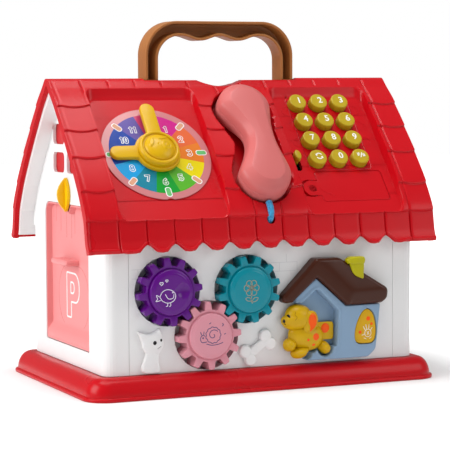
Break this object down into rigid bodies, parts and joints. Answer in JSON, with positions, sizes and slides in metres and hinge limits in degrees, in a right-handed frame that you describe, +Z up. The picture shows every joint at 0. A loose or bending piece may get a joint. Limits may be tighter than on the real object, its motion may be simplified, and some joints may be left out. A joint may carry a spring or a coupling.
{
  "type": "toy activity house",
  "caption": "Toy house carried by a folding handle, with a play clock, a telephone on a cord, a keypad, turning gears, a kennel with push pieces and a garage door.",
  "frame": {"origin": "centre of the base at the surface that it stands on", "axes": "+X along the ridge, to the right as seen from the front, +Y from the front to the rear, +Z up"},
  "size_m": [0.303, 0.201, 0.2915],
  "materials": {
    "dial": "glossy moulded",
    "steel": "satin",
    "clockYellow": "glossy moulded",
    "pink": "glossy moulded",
    "keyOlive": "glossy moulded",
    "silicone": "matt silicone",
    "board": "matt",
    "red": "glossy moulded",
    "black": "matt",
    "cell": "glossy sleeve",
    "white": "glossy moulded",
    "purple": "glossy moulded",
    "gearPink": "glossy moulded",
    "teal": "glossy moulded",
    "kennelBlue": "glossy moulded",
    "roofBrown": "glossy moulded",
    "lime": "glossy moulded",
    "dogYellow": "glossy moulded",
    "doorPink": "glossy moulded",
    "brown": "glossy moulded",
    "cord": "braided"
  },
  "bodies": {
    "house": {"base_tray": "red", "left_end_wall": "white", "right_end_wall": "white", "front_panel": "white", "rear_panel": "white", "roof_shell": "red", "clock_dial": "dial", "clock_spindle": "steel", "handle_pin_left": "steel", "handle_pin_right": "steel", "keypad_mat": "silicone", "main_board": "board", "battery_box": "black", "battery_cell_1": "cell", "battery_cell_2": "cell", "gear_axle_purple": "steel", "gear_axle_pink": "steel", "gear_axle_teal": "steel", "kennel_walls": "kennelBlue", "kennel_roof": "roofBrown", "kennel_chimney": "lime", "window_backing": "red", "door_hinge_rod": "steel", "garage_bay": "white", "speaker": "black", "cord_knot": "cord"},
    "handle": {"handle": "brown"},
    "minute_hand": {"minute_hand": "clockYellow"},
    "hour_hand": {"hour_hand": "clockYellow"},
    "handset": {"handset_lower_shell": "pink", "handset_upper_shell": "pink", "handset_cord": "cord"},
    "battery_door": {"battery_door": "red"},
    "battery_door_screw": {"battery_door_screw": "steel"},
    "power_switch": {"power_switch": "keyOlive"},
    "gear_purple": {"gear_purple": "purple"},
    "gear_pink": {"gear_pink": "gearPink"},
    "gear_teal": {"gear_teal": "teal"},
    "puppy": {"puppy": "dogYellow"},
    "paw_button": {"paw_button": "dogYellow"},
    "garage_door": {"garage_door": "doorPink"},
    "door_catch": {"door_catch": "clockYellow"},
    "key_1": {"key_1": "keyOlive"},
    "key_2": {"key_2": "keyOlive"},
    "key_3": {"key_3": "keyOlive"},
    "key_4": {"key_4": "keyOlive"},
    "key_5": {"key_5": "keyOlive"},
    "key_6": {"key_6": "keyOlive"},
    "key_7": {"key_7": "keyOlive"},
    "key_8": {"key_8": "keyOlive"},
    "key_9": {"key_9": "keyOlive"},
    "key_repeat": {"key_repeat": "keyOlive"},
    "key_0": {"key_0": "keyOlive"},
    "key_mode": {"key_mode": "keyOlive"}
  },
  "joints": [
    {"name": "handle_fold", "type": "hinge", "parent": "house", "child": "handle", "pos_m": [0, 0.007, 0.231], "axis": [-1, 0, 0], "range_deg": [0, 100]},
    {"name": "minute_turn", "type": "hinge", "parent": "house", "child": "minute_hand", "pos_m": [-0.07625, -0.04926, 0.18535], "axis": [0, 0.7628, -0.6467], "continuous": true},
    {"name": "hour_turn", "type": "hinge", "parent": "house", "child": "hour_hand", "pos_m": [-0.07625, -0.04926, 0.18535], "axis": [0, 0.7628, -0.6467], "continuous": true},
    {"name": "handset_lift", "type": "slide", "parent": "house", "child": "handset", "axis": [0, -0.7628, 0.6467], "range_m": [0, 0.045], "deforming": ["handset_cord"]},
    {"name": "battery_door_lift", "type": "slide", "parent": "house", "child": "battery_door", "axis": [0, -0.7628, 0.6467], "range_m": [0, 0.025]},
    {"name": "battery_screw_turn", "type": "hinge", "parent": "battery_door", "child": "battery_door_screw", "pos_m": [0.0488, -0.07364, 0.1566], "axis": [0, -0.7628, 0.6467], "continuous": true},
    {"name": "power_slide", "type": "slide", "parent": "house", "child": "power_switch", "axis": [0, -0.6467, -0.7628], "range_m": [0, 0.006]},
    {"name": "gear_pink_turn", "type": "hinge", "parent": "house", "child": "gear_pink", "pos_m": [-0.05, -0.086, 0.0455], "axis": [0, -1, 0], "continuous": true},
    {"name": "gear_purple_turn", "type": "hinge", "parent": "house", "child": "gear_purple", "pos_m": [-0.08268, -0.086, 0.0812], "axis": [0, -1, 0], "continuous": true},
    {"name": "gear_teal_turn", "type": "hinge", "parent": "house", "child": "gear_teal", "pos_m": [-0.01603, -0.086, 0.07997], "axis": [0, -1, 0], "continuous": true},
    {"name": "puppy_push", "type": "slide", "parent": "house", "child": "puppy", "axis": [0, 1, 0], "range_m": [0, 0.0018], "stiffness_N_per_m": 300},
    {"name": "paw_button_push", "type": "slide", "parent": "house", "child": "paw_button", "axis": [0, 1, 0], "range_m": [0, 0.0018], "stiffness_N_per_m": 300},
    {"name": "door_swing", "type": "hinge", "parent": "house", "child": "garage_door", "pos_m": [-0.1305, 0, 0.036], "axis": [0, -1, 0], "range_deg": [0, 90]},
    {"name": "catch_turn", "type": "hinge", "parent": "house", "child": "door_catch", "pos_m": [-0.1345, -0.0037, 0.153], "axis": [-1, 0, 0], "range_deg": [0, 90]},
    {"name": "key_1_press", "type": "slide", "parent": "house", "child": "key_1", "axis": [0, 0.7628, -0.6467], "range_m": [0, 0.002], "stiffness_N_per_m": 300},
    {"name": "key_2_press", "type": "slide", "parent": "house", "child": "key_2", "axis": [0, 0.7628, -0.6467], "range_m": [0, 0.002], "stiffness_N_per_m": 300},
    {"name": "key_3_press", "type": "slide", "parent": "house", "child": "key_3", "axis": [0, 0.7628, -0.6467], "range_m": [0, 0.002], "stiffness_N_per_m": 300},
    {"name": "key_4_press", "type": "slide", "parent": "house", "child": "key_4", "axis": [0, 0.7628, -0.6467], "range_m": [0, 0.002], "stiffness_N_per_m": 300},
    {"name": "key_5_press", "type": "slide", "parent": "house", "child": "key_5", "axis": [0, 0.7628, -0.6467], "range_m": [0, 0.002], "stiffness_N_per_m": 300},
    {"name": "key_6_press", "type": "slide", "parent": "house", "child": "key_6", "axis": [0, 0.7628, -0.6467], "range_m": [0, 0.002], "stiffness_N_per_m": 300},
    {"name": "key_7_press", "type": "slide", "parent": "house", "child": "key_7", "axis": [0, 0.7628, -0.6467], "range_m": [0, 0.002], "stiffness_N_per_m": 300},
    {"name": "key_8_press", "type": "slide", "parent": "house", "child": "key_8", "axis": [0, 0.7628, -0.6467], "range_m": [0, 0.002], "stiffness_N_per_m": 300},
    {"name": "key_9_press", "type": "slide", "parent": "house", "child": "key_9", "axis": [0, 0.7628, -0.6467], "range_m": [0, 0.002], "stiffness_N_per_m": 300},
    {"name": "key_repeat_press", "type": "slide", "parent": "house", "child": "key_repeat", "axis": [0, 0.7628, -0.6467], "range_m": [0, 0.002], "stiffness_N_per_m": 300},
    {"name": "key_0_press", "type": "slide", "parent": "house", "child": "key_0", "axis": [0, 0.7628, -0.6467], "range_m": [0, 0.002], "stiffness_N_per_m": 300},
    {"name": "key_mode_press", "type": "slide", "parent": "house", "child": "key_mode", "axis": [0, 0.7628, -0.6467], "range_m": [0, 0.002], "stiffness_N_per_m": 300}
  ],
  "couplings": [
    {"joint": "gear_purple_turn", "follows": "gear_pink_turn", "ratio": -1},
    {"joint": "gear_teal_turn", "follows": "gear_pink_turn", "ratio": -1}
  ]
}
